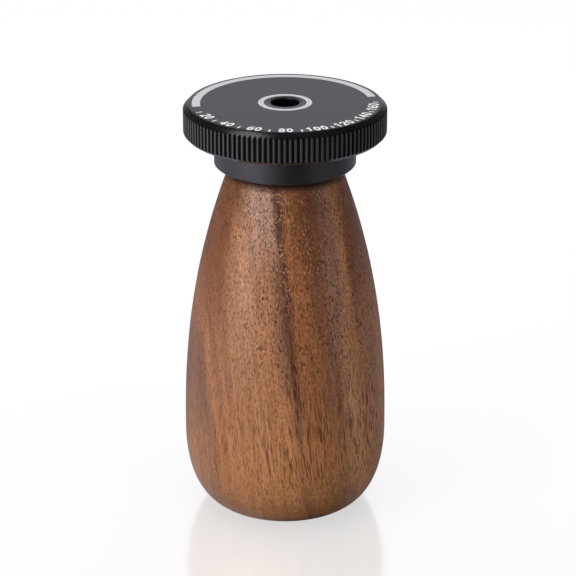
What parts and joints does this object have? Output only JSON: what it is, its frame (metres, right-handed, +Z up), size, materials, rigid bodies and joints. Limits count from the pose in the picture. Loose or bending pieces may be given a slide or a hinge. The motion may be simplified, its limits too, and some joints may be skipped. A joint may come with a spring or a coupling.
{
  "type": "miniature painting handle",
  "caption": "Turned walnut hand grip with a knurled black metal turntable that spins on a ball bearing, for holding a small model while it is painted.",
  "frame": {"origin": "centre of the flat foot, on the surface that the handle stands on", "axes": "+Z up along the turned axis and the turntable's spindle; -Y is the side that the scale faces"},
  "size_m": [0.0438, 0.0438, 0.0913],
  "materials": {
    "walnut": "oiled, satin",
    "black_anodised": "fine blasted and black anodised",
    "insert_brass": "machined",
    "bearing_steel": "ground",
    "ball_steel": "polished",
    "pressed_steel": "pressed sheet",
    "mark_white": "white paint in shallow engraving"
  },
  "bodies": {
    "grip": {"walnut_grip": "walnut", "threaded_insert": "insert_brass", "collar": "black_anodised", "bearing_outer_ring": "bearing_steel", "lower_shield": "pressed_steel", "upper_shield": "pressed_steel", "lock_ring": "black_anodised"},
    "table": {"turntable": "black_anodised", "bearing_inner_ring": "bearing_steel", "hub_washer": "pressed_steel", "hub_nut": "bearing_steel"},
    "ball_set": {"bearing_balls": "ball_steel", "lower_cage_half": "pressed_steel", "upper_cage_half": "pressed_steel", "cage_rivets": "pressed_steel"}
  },
  "joints": [
    {"name": "table_spin", "type": "hinge", "parent": "grip", "child": "table", "pos_m": [0, 0, 0.082], "axis": [0, 0, 1], "continuous": true},
    {"name": "ball_set_spin", "type": "hinge", "parent": "grip", "child": "ball_set", "pos_m": [0, 0, 0.082], "axis": [0, 0, 1], "continuous": true}
  ],
  "couplings": [
    {"joint": "ball_set_spin", "follows": "table_spin", "ratio": 0.41793}
  ]
}
